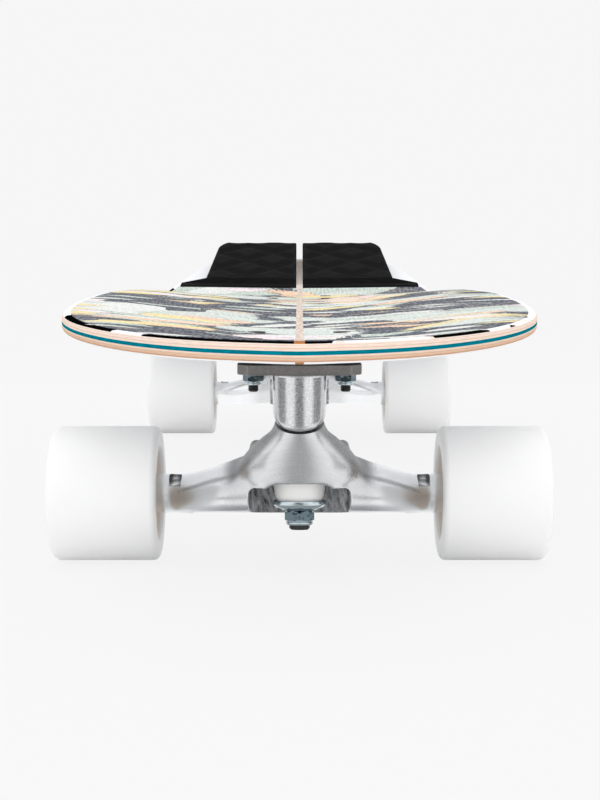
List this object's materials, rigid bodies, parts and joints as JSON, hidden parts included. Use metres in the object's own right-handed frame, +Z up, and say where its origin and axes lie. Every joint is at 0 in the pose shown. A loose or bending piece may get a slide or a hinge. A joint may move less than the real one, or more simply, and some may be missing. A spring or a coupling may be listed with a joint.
{
  "type": "surf-style longboard",
  "caption": "Short surf-style longboard with a concave kicktail deck, quilted tail pad, pivot-post steering trucks and wide wheels on sealed bearings.",
  "frame": {"origin": "middle of the board's outline, on the ground plane under the wheels", "axes": "-Y towards the nose, +Y towards the tail, +X to the right of someone looking along +Y, +Z up"},
  "size_m": [0.254, 0.78, 0.1475],
  "materials": {
    "wheel_urethane": "satin white cast urethane",
    "bushing_urethane": "smooth white urethane",
    "cast_aluminium": "cast, linished and tumbled bright aluminium",
    "post_aluminium": "cast aluminium, grey tumbled finish, brushed post",
    "zinc_steel": "zinc plated steel with a slight blue tint",
    "bearing_steel": "polished bearing steel",
    "black_steel": "black oxide steel",
    "maple": "seven plies of maple, one dyed teal, lacquered, white underside",
    "grit": "clear grit sprayed over a streaky print",
    "pad_foam": "black moulded foam, matt",
    "cup_plastic": "pale moulded plastic"
  },
  "bodies": {
    "board": {"deck": "maple", "grit_sheet": "grit", "tail_pad_left": "pad_foam", "tail_pad_right": "pad_foam", "front_outer_left_deck_bolt": "zinc_steel", "front_outer_right_deck_bolt": "zinc_steel", "front_inner_left_deck_bolt": "zinc_steel", "front_inner_right_deck_bolt": "zinc_steel", "front_baseplate": "post_aluminium", "front_pivot_cup": "cup_plastic", "front_kingpin": "black_steel", "front_kingpin_nut": "zinc_steel", "front_top_washer": "zinc_steel", "front_cup_washer": "zinc_steel", "front_board_bushing": "bushing_urethane", "front_road_bushing": "bushing_urethane", "rear_outer_left_deck_bolt": "zinc_steel", "rear_outer_right_deck_bolt": "zinc_steel", "rear_inner_left_deck_bolt": "zinc_steel", "rear_inner_right_deck_bolt": "zinc_steel", "rear_baseplate": "post_aluminium", "rear_pivot_cup": "cup_plastic", "rear_kingpin": "black_steel", "rear_kingpin_nut": "zinc_steel", "rear_top_washer": "zinc_steel", "rear_cup_washer": "zinc_steel", "rear_board_bushing": "bushing_urethane", "rear_road_bushing": "bushing_urethane"},
    "front_steering_axle": {"front_hanger": "cast_aluminium", "front_axle": "zinc_steel", "front_left_bearing_spacer": "zinc_steel", "front_left_inner_speed_ring": "zinc_steel", "front_left_outer_speed_ring": "zinc_steel", "front_left_axle_nut": "zinc_steel", "front_right_bearing_spacer": "zinc_steel", "front_right_inner_speed_ring": "zinc_steel", "front_right_outer_speed_ring": "zinc_steel", "front_right_axle_nut": "zinc_steel"},
    "front_left_rolling_wheel": {"front_left_wheel": "wheel_urethane", "front_left_inner_bearing": "bearing_steel", "front_left_outer_bearing": "bearing_steel"},
    "front_right_rolling_wheel": {"front_right_wheel": "wheel_urethane", "front_right_inner_bearing": "bearing_steel", "front_right_outer_bearing": "bearing_steel"},
    "rear_steering_axle": {"rear_hanger": "cast_aluminium", "rear_axle": "zinc_steel", "rear_left_bearing_spacer": "zinc_steel", "rear_left_inner_speed_ring": "zinc_steel", "rear_left_outer_speed_ring": "zinc_steel", "rear_left_axle_nut": "zinc_steel", "rear_right_bearing_spacer": "zinc_steel", "rear_right_inner_speed_ring": "zinc_steel", "rear_right_outer_speed_ring": "zinc_steel", "rear_right_axle_nut": "zinc_steel"},
    "rear_left_rolling_wheel": {"rear_left_wheel": "wheel_urethane", "rear_left_inner_bearing": "bearing_steel", "rear_left_outer_bearing": "bearing_steel"},
    "rear_right_rolling_wheel": {"rear_right_wheel": "wheel_urethane", "rear_right_inner_bearing": "bearing_steel", "rear_right_outer_bearing": "bearing_steel"}
  },
  "joints": [
    {"name": "front_steer", "type": "hinge", "parent": "board", "child": "front_steering_axle", "pos_m": [0, -0.2453, 0.0465], "axis": [0, -0.4848, 0.8746], "range_deg": [-20, 20], "stiffness_Nm_per_rad": 45, "deforming": ["front_board_bushing", "front_road_bushing"]},
    {"name": "front_left_wheel_spin", "type": "hinge", "parent": "front_steering_axle", "child": "front_left_rolling_wheel", "pos_m": [-0.0905, -0.225, 0.0315], "axis": [1, 0, 0], "continuous": true},
    {"name": "front_right_wheel_spin", "type": "hinge", "parent": "front_steering_axle", "child": "front_right_rolling_wheel", "pos_m": [0.0905, -0.225, 0.0315], "axis": [1, 0, 0], "continuous": true},
    {"name": "rear_steer", "type": "hinge", "parent": "board", "child": "rear_steering_axle", "pos_m": [0, 0.2603, 0.0465], "axis": [0, 0.4848, 0.8746], "range_deg": [-20, 20], "stiffness_Nm_per_rad": 45, "deforming": ["rear_board_bushing", "rear_road_bushing"]},
    {"name": "rear_left_wheel_spin", "type": "hinge", "parent": "rear_steering_axle", "child": "rear_left_rolling_wheel", "pos_m": [-0.0905, 0.24, 0.0315], "axis": [1, 0, 0], "continuous": true},
    {"name": "rear_right_wheel_spin", "type": "hinge", "parent": "rear_steering_axle", "child": "rear_right_rolling_wheel", "pos_m": [0.0905, 0.24, 0.0315], "axis": [1, 0, 0], "continuous": true}
  ]
}
